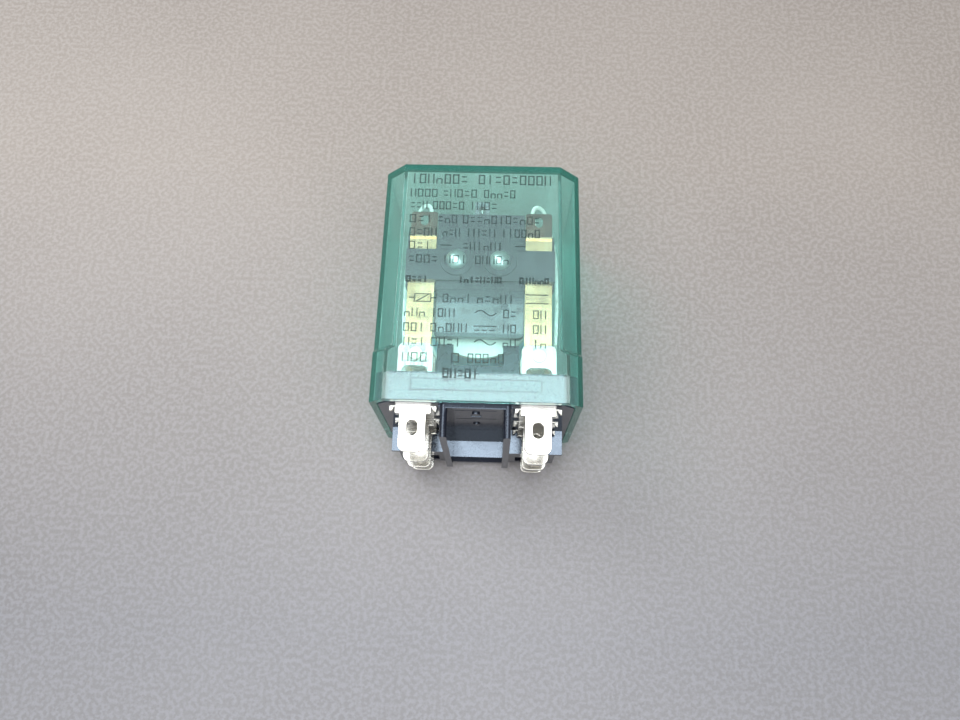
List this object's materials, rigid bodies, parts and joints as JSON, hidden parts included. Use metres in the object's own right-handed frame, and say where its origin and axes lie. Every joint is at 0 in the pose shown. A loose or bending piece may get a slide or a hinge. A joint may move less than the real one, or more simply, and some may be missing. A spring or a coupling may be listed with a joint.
{
  "type": "plug in relay",
  "caption": "Plug-in power relay lying on its back: clear chamfered cover, black base, quick-connect blades, coil, rocking armature, spring contact arms and copper braids",
  "frame": {"origin": "centre of the bounding box in X and Y, on the surface the relay lies on (the back wall of the cover, z = 0)", "axes": "+X right, +Y from the blades towards the closed end of the cover, +Z out of the printed front wall, away from the surface it lies on"},
  "size_m": [0.0388, 0.0566, 0.0356],
  "materials": {
    "cover_plastic": "clear green moulded polycarbonate",
    "base_plastic": "black phenolic moulding",
    "block_plastic": "dark grey phenolic moulding",
    "tinned_brass": "bright tin plate on brass",
    "spring_brass": "bright rolled phosphor bronze",
    "silver_contact": "silver alloy contact buttons",
    "lug_copper": "dull copper alloy strip",
    "rivet_steel": "bright nickel plated steel",
    "soft_iron": "zinc plated soft iron",
    "zinc_steel": "zinc plated steel",
    "nylon": "natural nylon",
    "magnet_wire": "enamelled copper wire",
    "blue_tape": "blue polyester tape",
    "lead_sleeve": "red sleeved wire",
    "spring_wire": "music wire",
    "copper_braid": "fine stranded copper braid",
    "pad_brass": "thin brass"
  },
  "bodies": {
    "frame": {"cover": "cover_plastic", "base": "base_plastic", "nc_terminal_left": "tinned_brass", "nc_terminal_right": "tinned_brass", "no_terminal_left": "tinned_brass", "no_terminal_right": "tinned_brass", "common_terminal_left": "tinned_brass", "common_terminal_right": "tinned_brass", "coil_terminal_left": "tinned_brass", "coil_terminal_right": "tinned_brass", "nc_contacts": "silver_contact", "no_contacts": "silver_contact", "yoke": "zinc_steel", "base_screws": "zinc_steel", "core": "soft_iron", "bobbin": "nylon", "winding": "magnet_wire", "coil_tape": "blue_tape", "coil_lead_left": "lead_sleeve", "coil_lead_right": "lead_sleeve", "spring_bracket": "zinc_steel", "bracket_rivet": "rivet_steel", "return_spring": "spring_wire", "pigtail_left": "copper_braid", "pigtail_right": "copper_braid"},
    "rocker": {"armature": "soft_iron", "anti_stick_pad": "pad_brass", "actuator_block": "block_plastic", "block_rivets": "rivet_steel", "arm_lug_left": "lug_copper", "arm_lug_right": "lug_copper", "contact_arm_left": "spring_brass", "contact_arm_right": "spring_brass", "moving_contacts": "silver_contact"}
  },
  "joints": [
    {"name": "armature_pivot", "type": "hinge", "parent": "frame", "child": "rocker", "pos_m": [0, 0.01775, 0.0253], "axis": [1, 0, 0], "range_deg": [0, 2.6], "stiffness_Nm_per_rad": 0.02, "springref_deg": -11.46, "deforming": ["return_spring"]}
  ]
}
